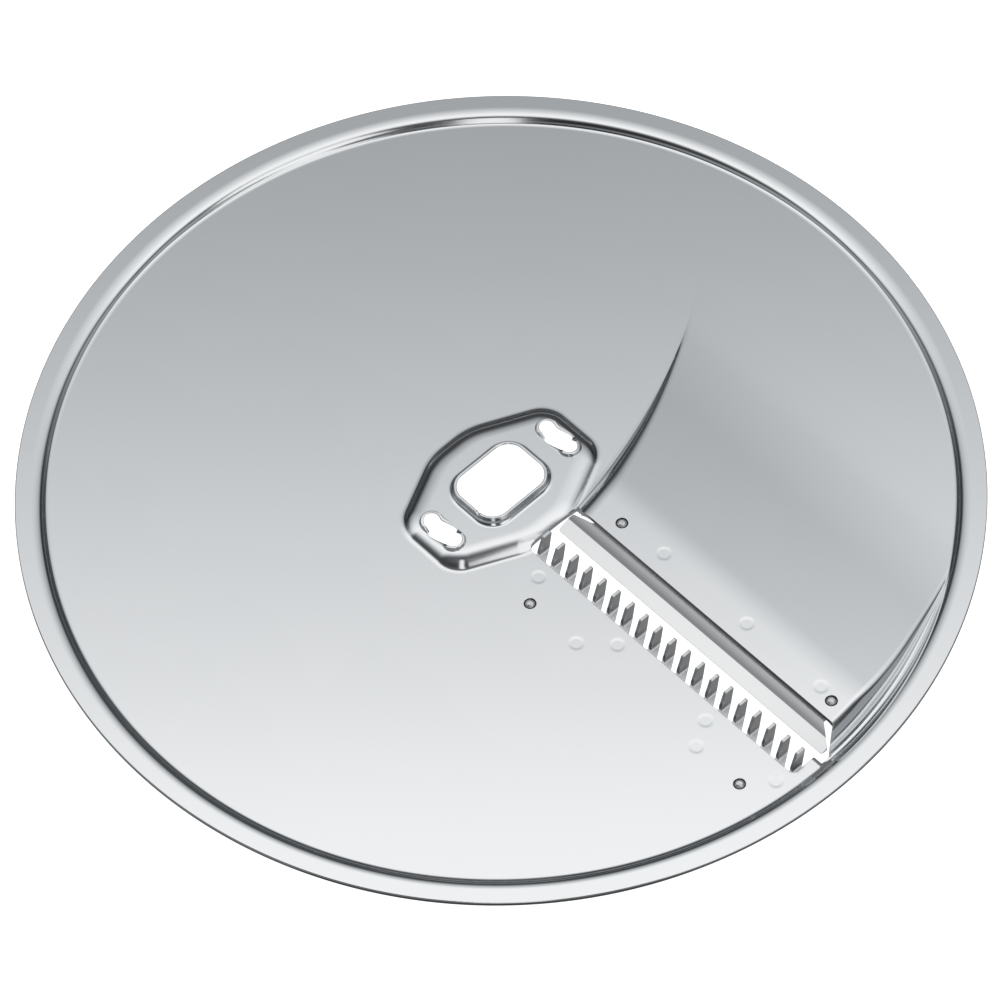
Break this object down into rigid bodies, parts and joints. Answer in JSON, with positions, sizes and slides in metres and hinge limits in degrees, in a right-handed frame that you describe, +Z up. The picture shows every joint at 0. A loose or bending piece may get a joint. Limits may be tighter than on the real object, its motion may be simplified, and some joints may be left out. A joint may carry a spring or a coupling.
{
  "type": "food processor disc",
  "caption": "Pressed steel food processor disc with a raised rim, a slotted drive hub, a slicing blade under a raised landing, and a comb of upright teeth that cuts julienne strips.",
  "frame": {"origin": "on the drive axis, at the level of the underside of the comb strip, which is the lowest face", "axes": "+X along the blade from the drive axis to the rim, +Y from the teeth towards the blade and its landing, +Z up, out of the cutting face"},
  "size_m": [0.148, 0.148, 0.005],
  "materials": {
    "pressed_sheet": "bright rolled stainless sheet, almost mirror smooth",
    "ground_blade": "stainless strip ground lengthwise, with a bright bevel",
    "comb_steel": "thin stainless strip with sheared and folded teeth"
  },
  "bodies": {
    "root": {"disc_plate": "pressed_sheet", "slicing_blade": "ground_blade", "julienne_comb": "comb_steel"}
  },
  "joints": []
}
